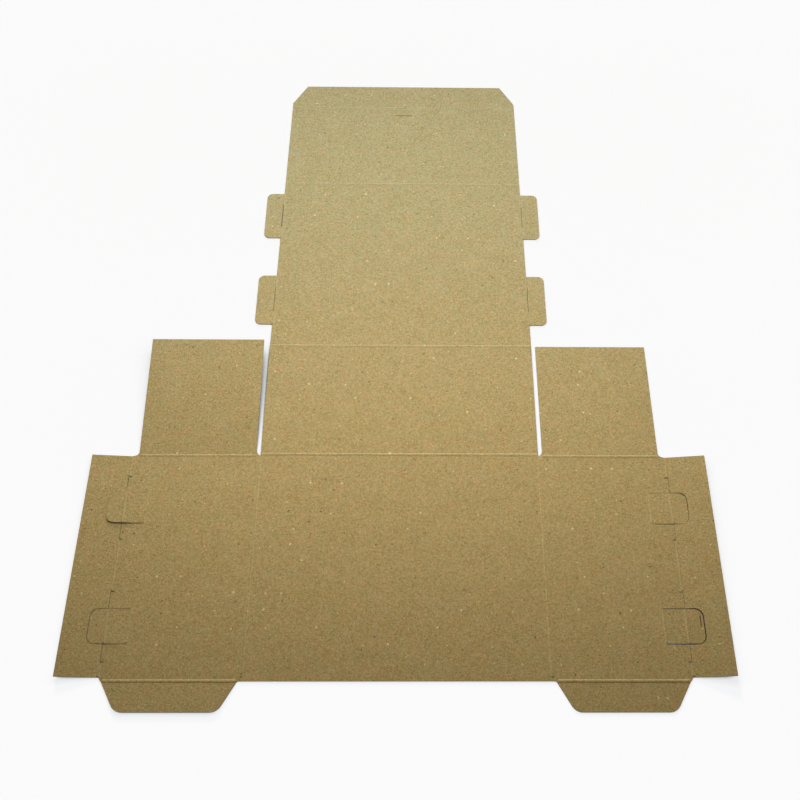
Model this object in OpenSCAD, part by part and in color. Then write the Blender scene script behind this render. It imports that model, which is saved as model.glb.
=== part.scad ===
// Die-cut blank of a small tuck-top carton: one sheet of board lying open with its inner face up.
// X runs across the blank, Y from the near edge to the tuck flap, Z up from the underside.
// Every outline is drawn where it lies in the flat blank; a panel that springs up is then turned about its crease.
// Every fold is a pressed crease: a bead on the inner face over a groove of the same arc in the outer face.

/* [Carton] */
// Width of the base, between its two side creases
base_w = 175; // [150:1:220]
// Depth of the base, from its near edge to the back crease, and of the lid
base_d = 140; // [128:1:200]
// Height of the side walls, base crease to strip fold, and of the back panel
wall_h = 80; // [74:1:110]
// Thickness of the board
board_t = 0.7; // [0.5:0.05:1.2]

/* [Back, lid and front] */
// Set-in of the back panel's edges and the lid's near corners from the base's side creases
column_ease = 0.2; // [0.1:0.05:2]
// Set-in of the front panel's far corners and the tuck flap from the base's side creases
front_ease = 1.9; // [1:0.1:4]
// Drop of the front panel's height below the side walls' height
front_drop = 3.5; // [0:0.1:8]
// Length of the tuck flap
tuck_l = 22.4; // [16:0.1:32]
// Straight stretch of the tuck flap's sides, before their slant
tuck_side_l = 4.5; // [2:0.1:10]
// Inset of the tuck flap's corners at its free edge
tuck_inset = 10.5; // [4:0.5:20]

/* [Fold-in strips] */
// Width of the strip beyond each side wall
strip_w = 24.2; // [18:0.1:36]
// Set-back of a strip's near end from the near edge
strip_near_gap = 2.1; // [0.5:0.1:5]
// Set-back of a strip's far end from the rear flap's crease
strip_far_gap = 0.6; // [0.3:0.1:3]
// Spring of the left strip, degrees up from flat
strip_left_angle = 5.5; // [0:0.5:15]
// Spring of the right strip, degrees up from flat
strip_right_angle = 8.5; // [0:0.5:15]

/* [Rear flaps] */
// Length of a rear flap, from its crease
rear_l = 81; // [50:0.1:86]
// Set-in of a rear flap's outer edge from the strip fold
rear_inset = 4.4; // [3:0.1:8]
// Flat land between the strip fold and the round notch at a rear flap's foot
notch_land = 0.3; // [0.2:0.1:1.5]
// Gap between a rear flap and the back panel
rear_gap = 2.7; // [2:0.1:5]
// Width of that gap at its near end
gap_end_w = 0.7; // [0.4:0.1:1.5]
// Length of the slant that narrows the gap to its near end
gap_slant_l = 2.7; // [1.5:0.1:5]
// Set-back of the rear flaps' crease from the back crease
rear_set = 1; // [0.6:0.1:2]
// Spring of the left rear flap, degrees up from flat
rear_left_angle = 6; // [0:0.5:15]
// Spring of the right rear flap, degrees up from flat
rear_right_angle = 0; // [0:0.5:15]

/* [Dust flaps] */
// Length of a dust flap, from its crease
dust_l = 17; // [12:0.5:30]
// Set-in of a dust flap's crease ends from the side wall's two long creases
dust_set = 2; // [1.6:0.1:4]
// Slant of a dust flap's sides, degrees from straight
dust_slant = 30; // [5:1:40]
// Corner radius of a dust flap
dust_r = 7; // [2:0.5:8]
// Spring of the left dust flap, degrees up from flat
dust_left_angle = 3; // [0:0.5:15]
// Spring of the right dust flap, degrees up from flat
dust_right_angle = 0; // [0:0.5:15]

/* [Locks] */
// Distance of the far lock's middle from the back crease
lock_from_back = 36; // [30:0.5:45]
// Distance of the near lock's middle from the base's near edge
lock_from_near = 31; // [28:0.5:45]
// Length of the slit that takes a lid tab
slit_l = 41.4; // [34:0.1:48]
// Length of the cross cut at each end of a slit
slit_tick_l = 2.2; // [1:0.1:4]
// Width of a lock's tongue
tongue_w = 20; // [10:0.5:26]
// Reach of a tongue into the side wall, from the strip fold to its hinge
tongue_in = 13; // [6:0.5:20]
// Reach of a tongue into the strip
tongue_out = 9.5; // [6:0.5:13]
// Corner radius of a tongue
tongue_r = 4.5; // [1:0.5:5]
// Spring of a tongue, degrees up from flat
tongue_angle = 1.5; // [0:0.5:5]
// Spring of the left far tongue, which stands proud, degrees up from flat
proud_tongue_angle = 5; // [0:0.5:10]
// Length of the nick in the right near tongue, from its middle towards the far side
nick_l = 6; // [3:0.5:8]
// Set-in of that nick from the tongue's free end
nick_set = 1.3; // [0.8:0.1:2.5]

/* [Lid tabs] */
// Play that puts each tab further from the lid crease than its lock is from the back crease
tab_shift = 1.2; // [0:0.1:3]
// Reach of a tab beyond the lid's edge
tab_w = 12; // [7:0.5:20]
// Play of a tab in its lock's slit
slit_play = 1.4; // [0.5:0.1:3]
// Corner radius of a tab
tab_r = 4; // [1:0.5:6]
// Length of the slit in a tab's root
tab_slit_l = 19; // [8:0.5:26]

/* [Push-in mark on the front] */
// Width of the mark
mark_w = 13.5; // [8:0.5:20]
// Length of the mark, from its near crease to its cut edge
mark_l = 12; // [8:0.5:20]
// Distance of the mark's cut edge from the tuck crease
mark_gap = 8; // [4:0.5:12]

/* [Creases and cuts] */
// Width of a crease's bead
crease_w = 2; // [1.2:0.1:2.6]
// Height of a crease's bead above the board
crease_h = 0.3; // [0.1:0.02:0.4]
// Clear end of a crease before an edge, a cut or another crease
crease_end = 0.6; // [0.3:0.1:1.2]
// Width of a closed knife cut
cut_w = 0.3; // [0.2:0.05:0.6]
// Width of a knife cut that has been pulled open
open_cut_w = 0.6; // [0.4:0.05:1.2]

/* [Hidden] */
$fn = 48;
// Crease profile: one arc through the bead's two edges and its top
crease_r = (crease_w * crease_w / 4 + crease_h * crease_h) / (2 * crease_h);
// Depth to which a bead's bar is let into the board
bead_root = crease_h / 4;
// Tail of a turned panel inside the panel that carries it, clear of the crease's ends
tail_l = crease_w / 4;
tail_end = 2 * crease_end;
// Step between the end of a turned panel and the corner of the panel that carries it
corner_step = crease_end / 2;
// Lines across the blank, from near to far
front_h = wall_h - front_drop;
blank_l = dust_l + base_d + wall_h + base_d + front_h + tuck_l;
y_near = -blank_l / 2;
y_base = y_near + dust_l;
y_strip_near = y_base + strip_near_gap;
y_back = y_base + base_d;
y_rear = y_back - rear_set;
y_strip_far = y_rear - strip_far_gap;
y_lid = y_back + wall_h;
y_front = y_lid + base_d;
y_tuck = y_front + front_h;
y_far = y_tuck + tuck_l;
y_mark = y_tuck - mark_gap - mark_l;
// Lines along the blank, measured from its middle
x_side = base_w / 2;
x_column = x_side - column_ease;
x_front = x_side - front_ease;
x_fold = x_side + wall_h;
x_hinge = x_fold - tongue_in;
x_strip = x_fold + strip_w;
x_gap_end = x_column + gap_end_w;
x_rear_in = x_column + rear_gap;
x_rear_out = x_fold - rear_inset;
notch_r = rear_inset - notch_land;
x_notch = x_rear_out + notch_r;
x_dust_in = x_side + dust_set;
x_dust_out = x_fold - dust_set;
// Middles of the far and near locks on a side wall, and of the tabs that meet them on the lid
lock_ys = [y_back - lock_from_back, y_base + lock_from_near];
tab_ys = [y_lid + lock_from_back + tab_shift, y_front - lock_from_near + tab_shift];
tab_l = slit_l - slit_play;
// Half width of the lid and the front, which narrow evenly towards the tuck crease
function edge_at(y) = x_column + (x_front - x_column) * (y - y_lid) / (y_tuck - y_lid);
// Widths of the cuts round the far and the near tongue on each side; the right near one stands open
right_cuts = [cut_w, open_cut_w];
left_cuts = [cut_w, cut_w];
// Stretches of the strip fold that are creased, between the locks' slits
fold_runs = [
    [y_strip_near, lock_ys[1] - slit_l / 2],
    [lock_ys[1] + slit_l / 2, lock_ys[0] - slit_l / 2],
    [lock_ys[0] + slit_l / 2, y_strip_far]
];
// Creases that cross the blank's middle, each from point to point
middle_runs = [
    [[-x_column, y_back], [x_column, y_back]],
    [[-x_column, y_lid], [x_column, y_lid]],
    [[-edge_at(y_front), y_front], [edge_at(y_front), y_front]],
    [[-x_front, y_tuck], [x_front, y_tuck]],
    [[-mark_w / 2, y_mark], [mark_w / 2, y_mark]],
    for (side = [-1, 1]) [[side * mark_w / 2, y_mark + crease_w], [side * mark_w / 2, y_mark + mark_l]]
];
// Creases of the right-hand side, each from point to point
side_runs = concat(
    [
        [[x_rear_in, y_rear], [x_rear_out, y_rear]],
        [[x_dust_in + corner_step, y_base], [x_dust_out - corner_step, y_base]],
        [[x_side, y_base + crease_w], [x_side, y_rear - crease_w]]
    ],
    [for (run = fold_runs) [[x_fold, run[0]], [x_fold, run[1]]]],
    [for (y = lock_ys) [[x_hinge, y - tongue_w / 2], [x_hinge, y + tongue_w / 2]]],
    [
        for (y = tab_ys, end = [-1, 1])
            [[edge_at(y), y + end * tab_slit_l / 2], [edge_at(y), y + end * tab_l / 2]]
    ]
);

// Rectangle between two corners
module rect(x0, y0, x1, y1) {
    translate([x0, y0])
        square([x1 - x0, y1 - y0]);
}

// The same shape on the right and on the left
module both_sides() {
    children();
    mirror([1, 0, 0])
        children();
}

// Tab that reaches from x = 0 to x = l, with its two far corners rounded, middle on y = 0
module round_ended(l, w, r) {
    rect(0, -w / 2, l - r, w / 2);
    rect(0, r - w / 2, l, w / 2 - r);
    for (side = [-1, 1])
        translate([l - r, side * (w / 2 - r)])
            circle(r);
}

// Base with the back, lid, front and tuck flap behind it
module column_outline() {
    polygon([
        [-x_column, y_base],
        [x_column, y_base],
        [x_column, y_lid],
        [x_front, y_tuck],
        [x_front, y_tuck + tuck_side_l],
        [x_front - tuck_inset, y_far],
        [tuck_inset - x_front, y_far],
        [-x_front, y_tuck + tuck_side_l],
        [-x_front, y_tuck],
        [-x_column, y_lid]
    ]);
}

// Right-hand half of the base and its side wall, with the slant and the notch at its outer corners
module wall_outline() {
    x_slant = x_dust_out + corner_step;
    difference() {
        polygon([
            [0, y_base],
            [x_slant, y_base],
            [x_slant + strip_near_gap * tan(dust_slant), y_strip_near],
            [x_fold, y_strip_near + corner_step],
            [x_fold, y_strip_far - corner_step],
            [x_notch, y_strip_far],
            [x_notch, y_rear],
            [0, y_rear]
        ]);
        notch(0);
    }
}

// Round notch between the right-hand rear flap and its strip, with some growth
module notch(growth) {
    translate([x_notch, y_strip_far + notch_r])
        circle(notch_r + growth);
}

// Tab on the lid's right-hand edge that goes into a lock
module lid_tab(y) {
    translate([edge_at(y) - tab_r, y])
        round_ended(tab_w + tab_r, tab_l, tab_r);
}

// Slit in the root of a lid tab, which lets the tab bend
module tab_slit(y, cut) {
    translate([edge_at(y), y])
        square([cut, tab_slit_l], center = true);
}

// Tongue of a right-hand lock, or with some growth the opening that it lies in
module tongue_outline(y, growth) {
    translate([x_hinge, y])
        round_ended(tongue_in + tongue_out + growth, tongue_w + 2 * growth, tongue_r + growth);
}

// Openings round the far and the near tongue of the right-hand side, with a slit of the given length on the fold
module lock_cuts(cuts, length) {
    for (i = [0, 1]) {
        tongue_outline(lock_ys[i], cuts[i]);
        translate([x_fold, lock_ys[i]])
            square([cut_w, length], center = true);
    }
}

// Knife cuts of the right-hand side wall: those of its locks, and an open cross cut at each end of each slit
module wall_cuts(cuts) {
    lock_cuts(cuts, slit_l);
    for (y = lock_ys, end = [-1, 1])
        translate([x_fold - slit_tick_l / 2, y + end * (slit_l - open_cut_w) / 2])
            square([slit_tick_l, open_cut_w], center = true);
}

// Open cut on the far side of the push-in mark, which is creased on its other sides
module mark_cut() {
    translate([0, y_mark + mark_l])
        square([mark_w, open_cut_w], center = true);
}

// Everything that lies flat, with its knife cuts; the left far tab's slit stands open
module flat_outline() {
    difference() {
        union() {
            column_outline();
            both_sides() {
                wall_outline();
                for (y = tab_ys)
                    lid_tab(y);
            }
        }
        wall_cuts(right_cuts);
        mirror([1, 0, 0])
            wall_cuts(left_cuts);
        both_sides()
            for (y = tab_ys)
                tab_slit(y, cut_w);
        mirror([1, 0, 0])
            tab_slit(tab_ys[1], open_cut_w);
        mark_cut();
    }
}

// Right-hand rear flap with its tail
module rear_outline() {
    polygon([
        [x_gap_end, y_rear],
        [x_rear_in, y_rear + gap_slant_l],
        [x_rear_in, y_rear + rear_l],
        [x_rear_out, y_rear + rear_l],
        [x_rear_out, y_rear]
    ]);
    rect(x_rear_in + tail_end, y_rear - tail_l, x_rear_out - tail_end, y_rear + tail_l);
    difference() {
        rect(x_rear_out - tail_l, y_rear, x_notch, y_strip_far + notch_r);
        notch(corner_step);
    }
}

// Right-hand dust flap with its tail; each free corner is an arc between two tangent points
module dust_outline() {
    tangent = dust_r * tan((90 - dust_slant) / 2);
    slant_x = dust_l * tan(dust_slant);
    side_x = slant_x - tangent * sin(dust_slant);
    side_y = y_near + tangent * cos(dust_slant);
    flat_x = slant_x + tangent;
    polygon([
        [x_dust_in, y_base],
        [x_dust_in + side_x, side_y],
        [x_dust_in + flat_x, y_near],
        [x_dust_out - flat_x, y_near],
        [x_dust_out - side_x, side_y],
        [x_dust_out, y_base]
    ]);
    for (x = [x_dust_in + flat_x, x_dust_out - flat_x])
        translate([x, y_near + dust_r])
            circle(dust_r);
    rect(x_dust_in + tail_end, y_base - tail_l, x_dust_out - tail_end, y_base + tail_l);
}

// Right-hand strip with its tails on the creased stretches of its fold
module strip_outline(cuts) {
    difference() {
        rect(x_fold, y_strip_near, x_strip, y_strip_far);
        lock_cuts(cuts, slit_l + 2 * corner_step);
    }
    for (run = fold_runs)
        rect(x_fold - tail_l, run[0] + tail_end, x_fold + tail_l, run[1] - tail_end);
}

// Short open cut inside a tongue's free end
module nick(y) {
    translate([x_fold + tongue_out - nick_set - open_cut_w, y])
        square([open_cut_w, nick_l]);
}

// Children turned up about a crease that runs across the blank
module turned_across(y, angle) {
    translate([0, y, 0])
        rotate([angle, 0, 0])
            translate([0, -y, 0])
                children();
}

// Children turned up about a crease that runs along the blank
module turned_along(x, angle) {
    translate([x, 0, 0])
        rotate([0, -angle, 0])
            translate([-x, 0, 0])
                children();
}

// Round bars of the crease's arc along the given runs, their tops at the given height
module crease_bars(runs, top) {
    for (run = runs) {
        line = run[1] - run[0];
        translate([run[0][0], run[0][1], top - crease_r])
            rotate([0, 90, atan2(line[1], line[0])])
                translate([0, 0, crease_end])
                    cylinder(r = crease_r, h = norm(line) - 2 * crease_end);
    }
}

// Beads on the inner face, let into the board
module beads(runs) {
    intersection() {
        crease_bars(runs, board_t + crease_h);
        translate([-x_strip, y_near, board_t - bead_root])
            cube([2 * x_strip, blank_l, 2 * crease_h]);
    }
}

// Right-hand tongue with its tail, the strip fold's crease across it and any nick
module tongue(y, angle, nicked) {
    half = tongue_w / 2;
    fold = [[[x_fold, y - half], [x_fold, y + half]]];
    turned_along(x_hinge, angle)
        difference() {
            union() {
                linear_extrude(board_t)
                    difference() {
                        union() {
                            tongue_outline(y, 0);
                            rect(x_hinge - tail_l, y - half + tail_end, x_hinge + tail_l, y + half - tail_end);
                        }
                        if (nicked)
                            nick(y);
                    }
                beads(fold);
            }
            crease_bars(fold, crease_h);
        }
}

// Panels of the right-hand side that spring up from the flat sheet
module sprung_panels(rear_angle, dust_angle, strip_angle, cuts) {
    turned_across(y_rear, rear_angle)
        linear_extrude(board_t)
            rear_outline();
    turned_across(y_base, -dust_angle)
        linear_extrude(board_t)
            dust_outline();
    turned_along(x_fold, strip_angle)
        linear_extrude(board_t)
            strip_outline(cuts);
}

// The whole blank: flat sheet and sprung panels, a bead over each crease and its groove beneath
module carton_blank() {
    color([0.71, 0.63, 0.43])
        difference() {
            union() {
                linear_extrude(board_t)
                    flat_outline();
                sprung_panels(rear_right_angle, dust_right_angle, strip_right_angle, right_cuts);
                tongue(lock_ys[0], tongue_angle, false);
                tongue(lock_ys[1], tongue_angle, true);
                mirror([1, 0, 0]) {
                    sprung_panels(rear_left_angle, dust_left_angle, strip_left_angle, left_cuts);
                    tongue(lock_ys[0], proud_tongue_angle, false);
                    tongue(lock_ys[1], tongue_angle, false);
                }
                beads(middle_runs);
                both_sides()
                    beads(side_runs);
            }
            crease_bars(middle_runs, crease_h);
            both_sides()
                crease_bars(side_runs, crease_h);
        }
}

carton_blank();
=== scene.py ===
"""Looks of a flattened carton: recycled brown board lying open on a pale floor under soft studio light."""
import math

import bpy
from mathutils import Matrix, Vector

# Camera: place in metres, angles in degrees, lens in millimetres, shift as a share of the frame
CAMERA_PLACE = (0.0087, -0.3389, 0.5494)
CAMERA_DOWN = 61.63
CAMERA_TURN = 1.67
CAMERA_ROLL = 1.68
CAMERA_LENS = 43.27
CAMERA_SHIFT_X = -0.0337
CAMERA_SHIFT_Y = 0.0016

# Light: metres and degrees; a level is the share of a written colour that shows on a flat face below it
LAMP_SIDE = 0.1
LAMP_FALL_POWER = 4
NEAR_ROW = {
    "xs": (-0.154, 0.0, 0.154),
    "y": -0.06,
    "height": 0.205,
    "level": 0.237,
    "colour": (1.0, 0.81, 0.56),
}
FAR_ROW = {
    "xs": (-0.197, 0.0, 0.197),
    "y": 0.18,
    "height": 0.302,
    "level": 0.321,
    "colour": (1.0, 1.2, 1.48),
}
LAMPS = [(row, x) for row in (NEAR_ROW, FAR_ROW) for x in row["xs"]]
SUN_HEIGHT = 18
SUN_FROM_LEFT = 8
SUN_WIDTH = 8
SUN_LEVEL = 0.12
FILL_LEVEL = 0.05
WARM = (1.0, 0.85, 0.65)

# Floor: lengths in metres, the rest in shares of white or of open sky; the cover values set painted shade
FLOOR_SIDE = 12.0
FLOOR_DROP = 0.00005
FLOOR_GREY = 0.45
FLOOR_NEARBY = 0.03
DARK_COVER = 0.3
CLEAR_COVER = 0.7
DEEP_SHADE = 0.03
WHITE = 0.96

# Board colours: 0 to 255 steps
BOARD_DARK = (142, 113, 32)
BOARD_PALE = (226, 208, 156)
# Pale of the flecks, also used for the painted highlight on creases
PALE_FLECK_AND_HIGHLIGHT = (236, 222, 172)
FLECK_DARK = (84, 64, 36)
CUT_EDGE = (196, 176, 128)

# Board noises: size in millimetres, detail in added octaves, depth as a share of the step from dark to pale
MM_IN_METRE = 1000
MIDDLE_TONE = 0.5
MOTTLE = {"size": 1.2, "detail": 3, "depth": 0.8}
CLOUD = {"size": 15, "detail": 2, "depth": 0.13}
GRAIN = {"size": 0.6, "detail": 2, "depth": 0.87}

# Colour cast: a slow noise, and how far red, green and blue sway with it as shares of themselves
CAST = {"size": 7, "detail": 1}
CAST_DEPTH = Vector((0.22, 0.0, 0.15))

# Flecks: lengths in millimetres; kept is the share of a net's cells that have one, tear frays their rims
PALE_FLECKS = {"cell": 10, "kept": 0.85, "smallest": 0.3, "largest": 0.9}
DARK_FLECKS = {"cell": 7, "kept": 0.54, "smallest": 0.28, "largest": 0.75}
PALE_STRENGTH = 0.9
DARK_STRENGTH = 0.65
FLECK_RANK_POWER = 6
FLECK_CORE = 0.6
TEAR = {"size": 1.2, "detail": 2}
TEAR_REACH = 1.2

# Creases and cut edges: how far a face leans along an axis, from 0 to 1, and how much paler a crease gets
# by painted highlight
CREASE_PAINTED_HIGHLIGHT = {"X": 0.22, "Y": 0.28}
PAINTED_HIGHLIGHT_START = 0.17
PAINTED_HIGHLIGHT_FULL = 0.37
EDGE_START = 0.6
EDGE_FULL = 0.3

# Board surface: bump depth in metres, the rest in shares
BUMP_MOTTLE = 0.6
BUMP_STRENGTH = 0.5
BUMP_DEPTH = 0.0001
ROUGHNESS = 0.72
ROUGHNESS_SWAY = 0.2
GLOSS = 0.2

# Mix node: places of its share, its two colours and its result among sockets that share names
MIX_INPUTS = (0, 6, 7)
MIX_RESULT = 2


def linear(colour):
    """A colour in 0 to 255 steps as the light values that nodes take, by the sRGB curve."""
    shares = [step / 255 for step in colour]
    return tuple(s / 12.92 if s <= 0.04045 else ((s + 0.055) / 1.055) ** 2.4 for s in shares) + (1.0,)


class Shader:
    """Adds nodes to one node tree. An input is another node's output, a number, a vector or a colour."""

    def __init__(self, tree):
        self.tree = tree
        self.tree.nodes.clear()

    def feed(self, socket, value):
        if isinstance(value, bpy.types.NodeSocket):
            self.tree.links.new(value, socket)
        else:
            socket.default_value = value

    def add(self, kind, inputs=None, **settings):
        made = self.tree.nodes.new("ShaderNode" + kind)
        for name, value in settings.items():
            setattr(made, name, value)
        for name, value in (inputs or {}).items():
            self.feed(made.inputs[name], value)
        return made

    def math(self, operation, *values):
        made = self.add("Math", operation=operation)
        for socket, value in zip(made.inputs, values):
            self.feed(socket, value)
        return made.outputs[0]

    def vector(self, operation, *values):
        made = self.add("VectorMath", operation=operation)
        for socket, value in zip(made.inputs, values):
            self.feed(socket, value)
        return made.outputs["Vector"]

    def scaled(self, place, factor):
        inputs = {"Vector": place, "Scale": factor}
        return self.add("VectorMath", inputs, operation="SCALE").outputs["Vector"]

    def noise(self, place, kind):
        inputs = {"Vector": place, "Scale": 1 / kind["size"], "Detail": kind["detail"]}
        return self.add("TexNoise", inputs).outputs

    def ramp(self, value, start, end):
        """0 at start and 1 at end, with a smooth rise between."""
        inputs = {"Value": value, "From Min": start, "From Max": end}
        return self.add("MapRange", inputs, interpolation_type="SMOOTHSTEP").outputs[0]

    def sway(self, tone, value, depth):
        """A tone moved up or down by a noise value of about a half."""
        return self.math("ADD", tone, self.math("MULTIPLY_ADD", value, depth, -depth / 2))

    def mix(self, share, first, second):
        """The first colour at a share of 0, the second at 1."""
        made = self.add("Mix", data_type="RGBA")
        for index, value in zip(MIX_INPUTS, (share, first, second)):
            self.feed(made.inputs[index], value)
        return made.outputs[MIX_RESULT]

    def flecks(self, place, cell, kept, smallest, largest):
        """Spots in a share of the cells of a net, each with its own size, and most of them small."""
        net = self.add("TexVoronoi", {"Vector": place, "Scale": 1 / cell}, voronoi_dimensions="2D").outputs
        chance = self.add("SeparateColor", {"Color": net["Color"]}).outputs
        away = self.math("MULTIPLY", net["Distance"], cell)
        rank = self.math("POWER", chance["Green"], FLECK_RANK_POWER)
        radius = self.math("MULTIPLY_ADD", rank, largest - smallest, smallest)
        spot = self.ramp(self.math("DIVIDE", away, radius), 1.0, FLECK_CORE)
        return self.math("MULTIPLY", spot, self.math("LESS_THAN", chance["Red"], kept))


def board_material():
    """Grey-brown recycled board: mottled, flecked with pulp, paler on cut edges, with a painted highlight
    on crease slopes.
    """
    material = bpy.data.materials.new("recycled_board")
    material.use_nodes = True
    s = Shader(material.node_tree)
    coordinates = s.add("TexCoord").outputs
    place = s.scaled(coordinates["Object"], MM_IN_METRE)
    mottle = s.noise(place, MOTTLE)[0]
    cloud = s.noise(place, CLOUD)[0]
    grain = s.noise(place, GRAIN)[0]
    tone = MIDDLE_TONE
    for value, kind in ((mottle, MOTTLE), (cloud, CLOUD), (grain, GRAIN)):
        tone = s.sway(tone, value, kind["depth"])
    colour = s.mix(tone, linear(BOARD_DARK), linear(BOARD_PALE))
    drift = s.noise(place, CAST)["Color"]
    cast = s.vector("MULTIPLY_ADD", drift, CAST_DEPTH, Vector((1, 1, 1)) - CAST_DEPTH / 2)
    colour = s.vector("MULTIPLY", colour, cast)
    wander = s.vector("SUBTRACT", s.noise(place, TEAR)["Color"], (0.5, 0.5, 0.5))
    torn = s.vector("ADD", place, s.scaled(wander, TEAR_REACH))
    pale = s.math("MULTIPLY", s.flecks(torn, **PALE_FLECKS), PALE_STRENGTH)
    colour = s.mix(pale, colour, linear(PALE_FLECK_AND_HIGHLIGHT))
    dark = s.math("MULTIPLY", s.flecks(torn, **DARK_FLECKS), DARK_STRENGTH)
    colour = s.mix(dark, colour, linear(FLECK_DARK))
    facing = s.add("SeparateXYZ", {"Vector": coordinates["Normal"]}).outputs
    # Painted highlight: crease slopes that lean along X or Y are mixed towards the pale fleck colour
    for axis, highlight_share in CREASE_PAINTED_HIGHLIGHT.items():
        slope = s.ramp(s.math("ABSOLUTE", facing[axis]), PAINTED_HIGHLIGHT_START, PAINTED_HIGHLIGHT_FULL)
        colour = s.mix(s.math("MULTIPLY", slope, highlight_share), colour, linear(PALE_FLECK_AND_HIGHLIGHT))
    edge = s.ramp(s.math("ABSOLUTE", facing["Z"]), EDGE_START, EDGE_FULL)
    colour = s.mix(edge, colour, linear(CUT_EDGE))
    height = s.math("MULTIPLY_ADD", mottle, BUMP_MOTTLE, grain)
    bump = s.add("Bump", {"Height": height, "Strength": BUMP_STRENGTH, "Distance": BUMP_DEPTH})
    roughness = s.math("MULTIPLY_ADD", mottle, ROUGHNESS_SWAY, ROUGHNESS)
    surface = s.add("BsdfPrincipled", {
        "Base Color": colour,
        "Roughness": roughness,
        "Specular IOR Level": GLOSS,
        "Normal": bump.outputs[0],
    })
    output = s.add("OutputMaterial")
    s.feed(output.inputs["Surface"], surface.outputs[0])
    return material


def seen(s):
    """1 for the rays that show the background: from the camera, off gloss and through glass."""
    ray = s.add("LightPath").outputs
    mirrored = s.math("MAXIMUM", ray["Is Glossy Ray"], ray["Is Transmission Ray"])
    return s.math("MAXIMUM", ray["Is Camera Ray"], mirrored)


def floor_material():
    """Pale floor that takes shadows; its glow makes up for the lamps' fall-off, and painted shade by
    ambient occlusion dims both under cover.
    """
    material = bpy.data.materials.new("pale_floor")
    material.use_nodes = True
    s = Shader(material.node_tree)
    place = s.add("NewGeometry").outputs["Position"]
    even = (SUN_LEVEL + FILL_LEVEL) * Vector(WARM)
    short = Vector([WHITE / FLOOR_GREY] * 3) - even
    for row, x in LAMPS:
        away = s.add("VectorMath", {0: place, 1: (x, row["y"], row["height"])}, operation="DISTANCE")
        steep = s.math("DIVIDE", row["height"], away.outputs["Value"])
        lit = s.scaled(row["level"] * Vector(row["colour"]), s.math("POWER", steep, LAMP_FALL_POWER))
        short = s.vector("SUBTRACT", short, lit)
    # Painted shade: ambient occlusion darkens the floor's colour and glow in cuts, gaps and under lifted
    # flaps
    sky = s.add("AmbientOcclusion", {"Distance": FLOOR_NEARBY}).outputs["AO"]
    open_sky = s.ramp(sky, DARK_COVER, CLEAR_COVER)
    grey = s.math("MULTIPLY_ADD", open_sky, FLOOR_GREY * (1 - DEEP_SHADE), FLOOR_GREY * DEEP_SHADE)
    diffuse = s.add("BsdfDiffuse", {"Color": grey})
    emission = s.add("Emission", {"Color": short, "Strength": s.math("MULTIPLY", grey, seen(s))})
    surface = s.add("AddShader", {0: diffuse.outputs[0], 1: emission.outputs[0]})
    output = s.add("OutputMaterial")
    s.feed(output.inputs["Surface"], surface.outputs[0])
    return material


def add_floor():
    half = FLOOR_SIDE / 2
    corners = [(x * half, y * half, -FLOOR_DROP) for x, y in ((-1, -1), (1, -1), (1, 1), (-1, 1))]
    mesh = bpy.data.meshes.new("floor")
    mesh.from_pydata(corners, [], [(0, 1, 2, 3)])
    floor = bpy.data.objects.new("floor", mesh)
    bpy.context.scene.collection.objects.link(floor)
    mesh.materials.append(floor_material())


def add_lamp(row, x):
    """A square lamp that faces down; its power brings out the row's level of a colour straight below."""
    light = bpy.data.lights.new("overhead_lamp", "AREA")
    light.size = LAMP_SIDE
    light.color = row["colour"]
    light.energy = row["level"] * (math.pi * row["height"]) ** 2
    lamp = bpy.data.objects.new("overhead_lamp", light)
    lamp.location = (x, row["y"], row["height"])
    lamp.visible_camera = False
    bpy.context.scene.collection.objects.link(lamp)


def add_sun():
    """A weak low light from the far left, which picks out creases and lifted flaps."""
    light = bpy.data.lights.new("low_light", "SUN")
    light.angle = math.radians(SUN_WIDTH)
    light.color = WARM
    light.energy = SUN_LEVEL * math.pi / math.sin(math.radians(SUN_HEIGHT))
    sun = bpy.data.objects.new("low_light", light)
    sun.rotation_euler = (math.radians(SUN_HEIGHT - 90), 0, math.radians(SUN_FROM_LEFT))
    bpy.context.scene.collection.objects.link(sun)


def add_world():
    """Soft fill light, and white where the camera looks past the floor."""
    world = bpy.data.worlds.new("studio")
    bpy.context.scene.world = world
    world.use_nodes = True
    s = Shader(world.node_tree)
    fill = s.add("Background", {"Color": WARM + (1.0,), "Strength": FILL_LEVEL})
    shown = s.add("Background", {"Color": (1.0, 1.0, 1.0, 1.0), "Strength": WHITE})
    surface = s.add("MixShader", {0: seen(s), 1: fill.outputs[0], 2: shown.outputs[0]})
    output = s.add("OutputWorld")
    s.feed(output.inputs["Surface"], surface.outputs[0])


def add_camera():
    data = bpy.data.cameras.new("camera")
    data.lens = CAMERA_LENS
    data.shift_x = CAMERA_SHIFT_X
    data.shift_y = CAMERA_SHIFT_Y
    camera = bpy.data.objects.new("camera", data)
    turn = Matrix.Rotation(math.radians(-CAMERA_TURN), 4, "Z")
    down = Matrix.Rotation(math.radians(90 - CAMERA_DOWN), 4, "X")
    roll = Matrix.Rotation(math.radians(CAMERA_ROLL), 4, "Z")
    camera.matrix_world = Matrix.Translation(CAMERA_PLACE) @ turn @ down @ roll
    bpy.context.scene.collection.objects.link(camera)
    bpy.context.scene.camera = camera


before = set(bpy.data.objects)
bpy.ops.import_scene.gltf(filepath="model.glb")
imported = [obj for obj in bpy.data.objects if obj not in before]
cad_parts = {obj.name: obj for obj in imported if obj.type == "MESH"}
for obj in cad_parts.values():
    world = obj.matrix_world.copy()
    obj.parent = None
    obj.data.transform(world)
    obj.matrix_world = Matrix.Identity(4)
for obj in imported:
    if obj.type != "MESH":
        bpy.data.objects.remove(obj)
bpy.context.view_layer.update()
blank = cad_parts["carton_blank"]
blank.data.materials.clear()
blank.data.materials.append(board_material())
add_floor()
for lamp_row, lamp_x in LAMPS:
    add_lamp(lamp_row, lamp_x)
add_sun()
add_world()
add_camera()
bpy.context.scene.view_settings.view_transform = "Standard"
